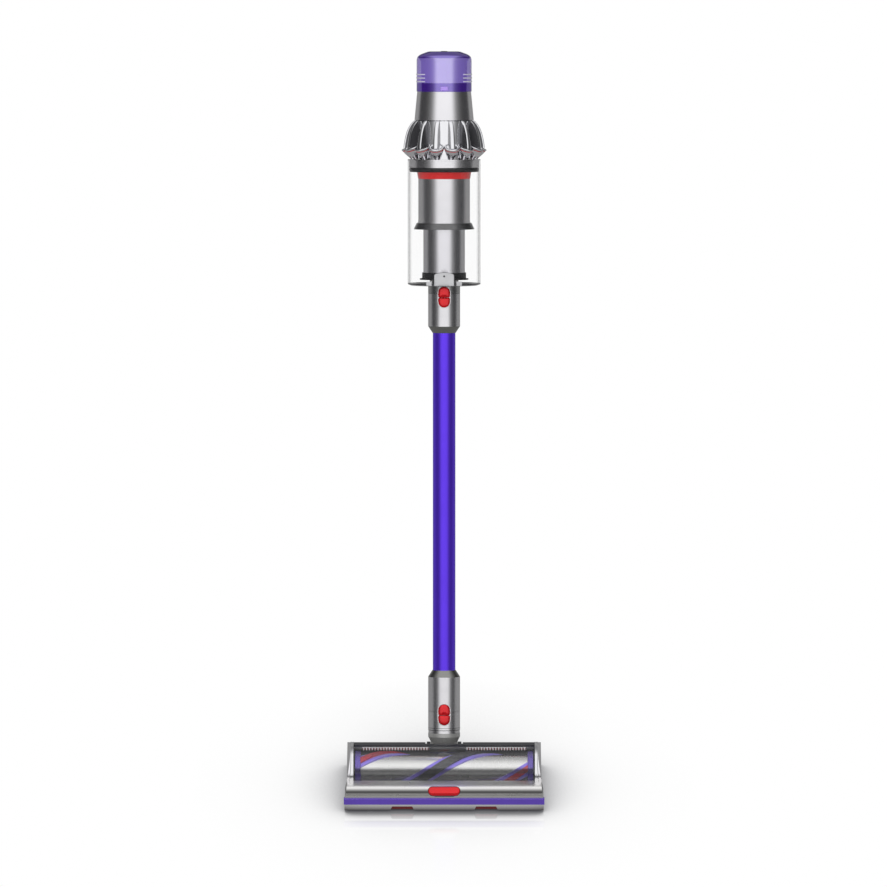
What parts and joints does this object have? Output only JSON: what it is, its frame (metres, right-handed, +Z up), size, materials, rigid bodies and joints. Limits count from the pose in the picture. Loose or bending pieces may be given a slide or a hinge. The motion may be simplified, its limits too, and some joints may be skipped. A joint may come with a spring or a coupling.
{
  "type": "cordless stick vacuum",
  "caption": "Cordless stick vacuum: floor head with a helical brush bar, straight wand, clear bin, cyclone pack, motor, twist-off filter, trigger grip and slide-on battery.",
  "frame": {"origin": "on the floor, under the middle of the whole part's outline, with the head flat on the floor and the stick leaning back", "axes": "+Z up; -Y the way the machine is pushed, where the head's window faces; +X along the roller, to the right of a viewer who faces the head's window"},
  "size_m": [0.32, 0.7284, 1.0501],
  "materials": {
    "violet_aluminium": "satin violet anodised tube",
    "nickel": "nickel-grey metallic plastic",
    "graphite": "dark grey plastic",
    "red": "red gloss plastic",
    "clear": "clear polycarbonate",
    "violet_clear": "tinted clear polycarbonate",
    "violet_plastic": "violet plastic",
    "black_rubber": "soft black seal",
    "chrome": "bright plated plastic",
    "carbon": "carbon filament strip",
    "nylon": "red nylon bristle strip",
    "fin": "soft violet fins",
    "pleats": "pleated filter paper",
    "steel": "steel",
    "comb_white": "pale comb",
    "black_glass": "black glass",
    "dark_metal": "motor housing"
  },
  "bodies": {
    "main_body": {"inner_duct": "graphite", "duct_seal": "black_rubber", "shroud_skirt": "black_rubber", "shroud_mesh": "nickel", "shroud_collar": "red", "bin_seal": "black_rubber", "bin_seat_ring": "nickel", "cyclone_core": "chrome", "cyclone_fingers": "chrome", "cyclone_lips": "chrome", "motor_housing": "nickel", "motor_unit": "dark_metal", "display_pod": "graphite", "display_glass": "black_glass", "handle_bridge": "graphite", "handle_grip": "graphite", "battery_dock": "graphite"},
    "filter": {"filter_cap": "violet_clear", "filter_media": "pleats", "filter_frame": "violet_plastic"},
    "mode_button": {"mode_button": "graphite"},
    "trigger": {"trigger": "red"},
    "impeller": {"impeller": "dark_metal"},
    "battery": {"battery_pack": "graphite"},
    "battery_latch": {"battery_latch": "red"},
    "bin_lever": {"bin_release_lever": "red"},
    "bin": {"bin_wall": "clear", "bin_hinge_pin": "steel"},
    "bin_base": {"bin_base": "graphite", "inlet_collar": "graphite"},
    "wand": {"wand_tube": "violet_aluminium", "wand_lower_collar": "nickel", "wand_upper_collar": "nickel"},
    "wand_button": {"wand_release_button": "red"},
    "cuff": {"cuff_sleeve": "nickel", "swivel_ring": "nickel"},
    "cuff_button": {"cuff_release_button": "red"},
    "neck": {"neck_knuckle": "graphite"},
    "head": {"neck_yoke": "graphite", "neck_pins": "steel", "head_shell": "graphite", "sole_plate": "graphite", "end_cap_left": "nickel", "end_cap_right": "nickel", "roller_window": "clear", "comb": "comb_white", "front_fascia": "nickel", "bumper_strip": "violet_plastic", "front_sill": "nickel", "brush_motor": "steel"},
    "brush": {"brush_core": "nickel", "brush_rings": "violet_plastic", "brush_fins": "fin", "nylon_strip": "nylon", "carbon_strip": "carbon"},
    "gate_slider": {"suction_slider": "red", "gate_bar": "red"},
    "rear_wheel_left": {"rear_wheel_left": "graphite"},
    "rear_wheel_right": {"rear_wheel_right": "graphite"},
    "front_wheels": {"front_wheels": "graphite"}
  },
  "joints": [
    {"name": "filter_twist", "type": "hinge", "parent": "main_body", "child": "filter", "pos_m": [0, 0.24589, 0.9798], "axis": [0, 0.454, 0.891], "range_deg": [0, 25]},
    {"name": "mode_press", "type": "slide", "parent": "main_body", "child": "mode_button", "axis": [0, -0.454, -0.891], "range_m": [0, 0.0015], "stiffness_N_per_m": 800},
    {"name": "trigger_pull", "type": "hinge", "parent": "main_body", "child": "trigger", "pos_m": [0, 0.31814, 0.90023], "axis": [1, 0, 0], "range_deg": [0, 10], "stiffness_Nm_per_rad": 0.8},
    {"name": "impeller_spin", "type": "hinge", "parent": "main_body", "child": "impeller", "pos_m": [0, 0.24589, 0.9798], "axis": [0, 0.454, 0.891], "continuous": true},
    {"name": "battery_slide", "type": "slide", "parent": "main_body", "child": "battery", "axis": [0, -0.454, -0.891], "range_m": [0, 0.04]},
    {"name": "battery_latch_press", "type": "slide", "parent": "battery", "child": "battery_latch", "axis": [0, -0.891, 0.454], "range_m": [0, 0.002], "stiffness_N_per_m": 900},
    {"name": "bin_lever_push", "type": "slide", "parent": "main_body", "child": "bin_lever", "axis": [0, -0.454, -0.891], "range_m": [0, 0.012], "stiffness_N_per_m": 250},
    {"name": "bin_slide", "type": "slide", "parent": "main_body", "child": "bin", "axis": [0, -0.454, -0.891], "range_m": [0, 0.045]},
    {"name": "bin_base_drop", "type": "hinge", "parent": "bin", "child": "bin_base", "pos_m": [0, 0.0518, 0.73257], "axis": [-1, 0, 0], "range_deg": [0, 95]},
    {"name": "wand_pull", "type": "slide", "parent": "bin_base", "child": "wand", "axis": [0, -0.454, -0.891], "range_m": [0, 0.03]},
    {"name": "wand_button_press", "type": "hinge", "parent": "wand", "child": "wand_button", "pos_m": [0, 0.07341, 0.6981], "axis": [1, 0, 0], "range_deg": [0, 5], "stiffness_Nm_per_rad": 0.25},
    {"name": "cuff_pull", "type": "slide", "parent": "wand", "child": "cuff", "axis": [0, -0.454, -0.891], "range_m": [0, 0.03]},
    {"name": "cuff_button_press", "type": "hinge", "parent": "cuff", "child": "cuff_button", "pos_m": [0, -0.2309, 0.10086], "axis": [1, 0, 0], "range_deg": [0, 5], "stiffness_Nm_per_rad": 0.25},
    {"name": "neck_twist", "type": "hinge", "parent": "cuff", "child": "neck", "pos_m": [0, -0.2352, 0.0356], "axis": [0, 0.454, 0.891], "range_deg": [-60, 60]},
    {"name": "neck_pitch", "type": "hinge", "parent": "neck", "child": "head", "pos_m": [0, -0.2352, 0.0356], "axis": [1, 0, 0], "range_deg": [-27, 48]},
    {"name": "brush_spin", "type": "hinge", "parent": "head", "child": "brush", "pos_m": [0, -0.2932, 0.034], "axis": [1, 0, 0], "continuous": true},
    {"name": "gate_slide", "type": "slide", "parent": "head", "child": "gate_slider", "axis": [1, 0, 0], "range_m": [-0.009, 0.009]},
    {"name": "rear_wheel_left_spin", "type": "hinge", "parent": "head", "child": "rear_wheel_left", "pos_m": [0, -0.2302, 0.009], "axis": [1, 0, 0], "continuous": true},
    {"name": "rear_wheel_right_spin", "type": "hinge", "parent": "head", "child": "rear_wheel_right", "pos_m": [0, -0.2302, 0.009], "axis": [1, 0, 0], "continuous": true},
    {"name": "front_wheels_spin", "type": "hinge", "parent": "head", "child": "front_wheels", "pos_m": [0, -0.3512, 0.005], "axis": [1, 0, 0], "continuous": true}
  ]
}
